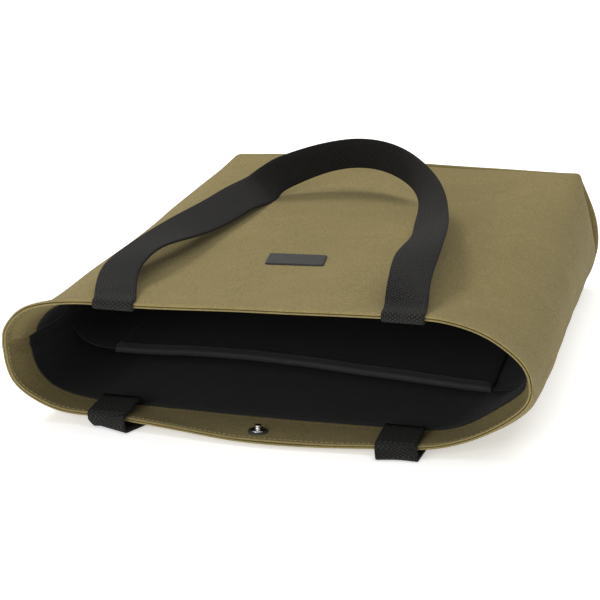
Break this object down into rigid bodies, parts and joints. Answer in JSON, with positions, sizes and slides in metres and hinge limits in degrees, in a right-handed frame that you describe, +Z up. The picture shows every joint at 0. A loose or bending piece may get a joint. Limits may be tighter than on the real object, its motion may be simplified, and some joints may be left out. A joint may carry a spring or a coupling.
{
  "type": "laptop tote bag",
  "caption": "Khaki canvas tote lying open on its back, with a padded laptop pocket, two webbing handles, a press fastener and a blank badge plate.",
  "frame": {"origin": "centre of the footprint, on the surface that the back panel lies on", "axes": "+X along the mouth, +Y from the mouth to the base of the bag, +Z up through the front panel"},
  "size_m": [0.349, 0.399, 0.139],
  "materials": {
    "canvas": "matte khaki cotton canvas",
    "canvas_inner": "matte khaki cotton canvas, shaded side",
    "lining": "black woven polyester",
    "foam": "soft grey closed-cell foam",
    "binding": "dark grey woven tape",
    "webbing": "ribbed black cotton webbing",
    "badge": "matte dark grey",
    "snap_metal": "nickel plated",
    "washer": "matte black"
  },
  "bodies": {
    "bag_back": {"back_panel": "canvas", "base_panel": "canvas", "left_side_wall": "canvas", "right_side_wall": "canvas", "back_pad": "foam", "back_facing": "canvas_inner", "back_lining": "lining", "base_lining": "lining", "left_lining": "lining", "right_lining": "lining", "left_facing": "canvas_inner", "right_facing": "canvas_inner", "stud_washer": "washer", "snap_stud": "snap_metal", "stud_backing": "snap_metal", "back_handle_tail_left": "webbing", "back_handle_tail_right": "webbing", "divider_wing_left": "lining", "divider_wing_right": "lining"},
    "bag_front": {"front_panel": "canvas", "front_facing": "canvas_inner", "front_lining": "lining", "badge_plate": "badge", "badge_backing": "snap_metal", "socket_washer": "washer", "snap_socket": "snap_metal", "front_handle_tail_left": "webbing", "front_handle_tail_right": "webbing"},
    "divider": {"divider_back_cloth": "lining", "divider_foam": "foam", "divider_front_cloth": "lining", "divider_binding": "binding"},
    "front_handle_loop": {"front_handle": "webbing"},
    "back_handle_loop": {"back_handle": "webbing"}
  },
  "joints": [
    {"name": "mouth_open", "type": "hinge", "parent": "bag_back", "child": "bag_front", "pos_m": [0, 0.19945, 0.05], "axis": [-1, 0, 0], "range_deg": [-11.2, 4], "deforming": ["left_side_wall", "right_side_wall", "left_lining", "right_lining", "left_facing", "right_facing", "divider_wing_left", "divider_wing_right"]},
    {"name": "divider_flex", "type": "hinge", "parent": "bag_back", "child": "divider", "pos_m": [0, 0.19495, 0.0247], "axis": [-1, 0, 0], "range_deg": [-2.4, 0.9]},
    {"name": "front_handle_swing", "type": "hinge", "parent": "bag_front", "child": "front_handle_loop", "pos_m": [0, -0.19555, 0.0946], "axis": [1, 0, 0], "range_deg": [0, 155]},
    {"name": "back_handle_swing", "type": "hinge", "parent": "bag_back", "child": "back_handle_loop", "pos_m": [0, -0.19505, 0.0012], "axis": [-1, 0, 0], "range_deg": [0, 180]}
  ],
  "couplings": [
    {"joint": "divider_flex", "follows": "mouth_open", "ratio": 0.2}
  ]
}
